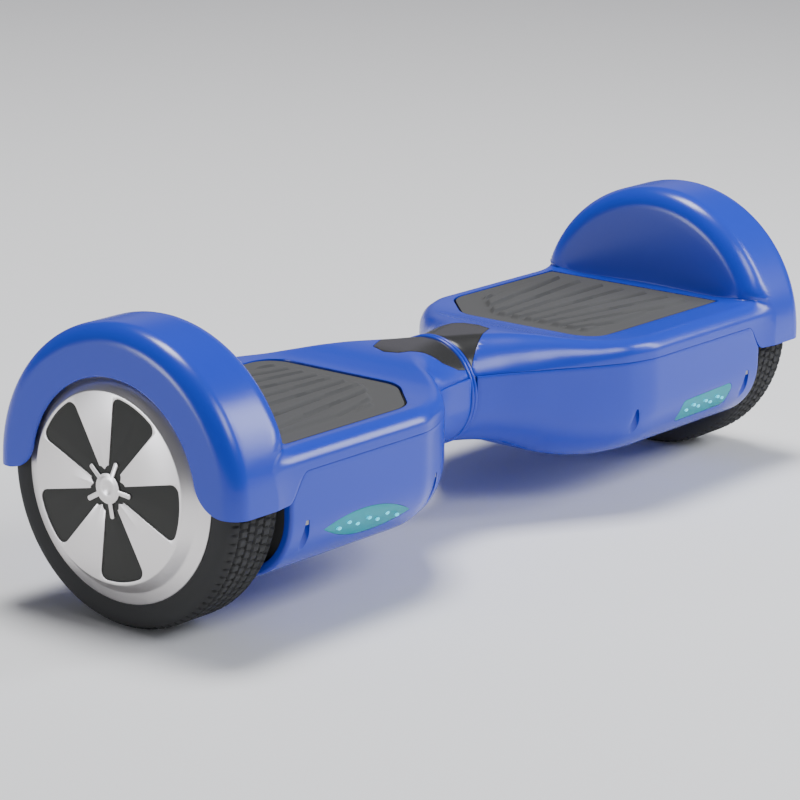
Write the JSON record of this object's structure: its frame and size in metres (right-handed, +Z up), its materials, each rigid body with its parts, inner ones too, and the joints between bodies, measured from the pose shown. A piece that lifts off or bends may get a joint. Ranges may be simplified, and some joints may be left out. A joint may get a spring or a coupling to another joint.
{
  "type": "self balancing hoverboard",
  "caption": "Two-wheeled self balancing board: two foot halves twist about a waist, each with a hub motor wheel under a round fender, a ribbed foot pad and a front lamp.",
  "frame": {"origin": "on the ground under the middle of the board, halfway between the wheels", "axes": "+X along the wheel axles to the right half's wheel, -Y the side with the lamps, +Z up"},
  "size_m": [0.5864, 0.186, 0.178],
  "materials": {
    "blue_paint": "glossy metallic deep blue paint on moulded plastic",
    "gloss_black": "gloss black plastic",
    "pad_rubber": "matt dark grey rubber with raised ribs",
    "lamp_lens": "clear teal lamp lens",
    "circuit_board": "green circuit board",
    "cast_aluminium": "as cast",
    "screw_steel": "dark zinc",
    "axle_steel": "ground steel",
    "core_iron": "varnished laminations",
    "copper": "enamelled copper wire",
    "magnet": "nickel plated",
    "bearing_steel": "polished",
    "polished_aluminium": "polished, clear lacquer",
    "inlay_black": "satin black",
    "tyre_rubber": "black solid rubber with a fine block tread",
    "bush_plastic": "acetal",
    "battery_wrap": "shrink wrap",
    "inner_plastic": "moulded",
    "socket_metal": "nickel plated"
  },
  "bodies": {
    "left_half": {"top_cover_left": "blue_paint", "bottom_cover_left": "blue_paint", "centre_cover_left": "gloss_black", "fender_left": "blue_paint", "led_lens_left": "lamp_lens", "led_board_left": "circuit_board", "chassis_left": "cast_aluminium", "axle_clamp_left": "cast_aluminium", "clamp_screws_left": "screw_steel", "cover_screws_left": "screw_steel", "sensor_board_left": "circuit_board", "motor_axle_left": "axle_steel", "stator_left": "core_iron", "windings_left": "copper", "pivot_tube": "axle_steel", "pivot_circlip": "screw_steel", "pivot_spacer": "axle_steel", "stop_pin": "screw_steel", "centre_ring": "blue_paint", "main_board": "circuit_board", "button_switch": "inner_plastic", "charging_port": "socket_metal", "speaker": "inner_plastic"},
    "right_half": {"top_cover_right": "blue_paint", "bottom_cover_right": "blue_paint", "centre_cover_right": "gloss_black", "fender_right": "blue_paint", "led_lens_right": "lamp_lens", "led_board_right": "circuit_board", "chassis_right": "cast_aluminium", "axle_clamp_right": "cast_aluminium", "clamp_screws_right": "screw_steel", "cover_screws_right": "screw_steel", "sensor_board_right": "circuit_board", "motor_axle_right": "axle_steel", "stator_right": "core_iron", "windings_right": "copper", "pivot_bushes": "bush_plastic", "battery_pack": "battery_wrap"},
    "wheel_left": {"magnets_left": "magnet", "wheel_bearings_left": "bearing_steel", "wheel_rim_left": "polished_aluminium", "wheel_petals_left": "inlay_black", "wheel_spider_left": "polished_aluminium", "motor_cover_left": "cast_aluminium", "hub_screws_left": "screw_steel", "tyre_left": "tyre_rubber"},
    "wheel_right": {"magnets_right": "magnet", "wheel_bearings_right": "bearing_steel", "wheel_rim_right": "polished_aluminium", "wheel_petals_right": "inlay_black", "wheel_spider_right": "polished_aluminium", "motor_cover_right": "cast_aluminium", "hub_screws_right": "screw_steel", "tyre_right": "tyre_rubber"},
    "pad_left": {"foot_pad_left": "pad_rubber"},
    "pad_right": {"foot_pad_right": "pad_rubber"},
    "power_button": {"power_button": "gloss_black"}
  },
  "joints": [
    {"name": "centre_twist", "type": "hinge", "parent": "left_half", "child": "right_half", "pos_m": [0, 0, 0.085], "axis": [1, 0, 0], "range_deg": [-10, 10]},
    {"name": "wheel_left_spin", "type": "hinge", "parent": "left_half", "child": "wheel_left", "pos_m": [-0.265, 0, 0.085], "axis": [1, 0, 0], "continuous": true},
    {"name": "wheel_right_spin", "type": "hinge", "parent": "right_half", "child": "wheel_right", "pos_m": [0.265, 0, 0.085], "axis": [1, 0, 0], "continuous": true},
    {"name": "pad_left_press", "type": "slide", "parent": "left_half", "child": "pad_left", "axis": [0, 0, -1], "range_m": [0, 0.0015], "stiffness_N_per_m": 20000, "springref_m": -0.0005},
    {"name": "pad_right_press", "type": "slide", "parent": "right_half", "child": "pad_right", "axis": [0, 0, -1], "range_m": [0, 0.0015], "stiffness_N_per_m": 20000, "springref_m": -0.0005},
    {"name": "power_button_press", "type": "slide", "parent": "left_half", "child": "power_button", "axis": [0, -1, 0], "range_m": [0, 0.0015], "stiffness_N_per_m": 800, "springref_m": -0.001}
  ]
}
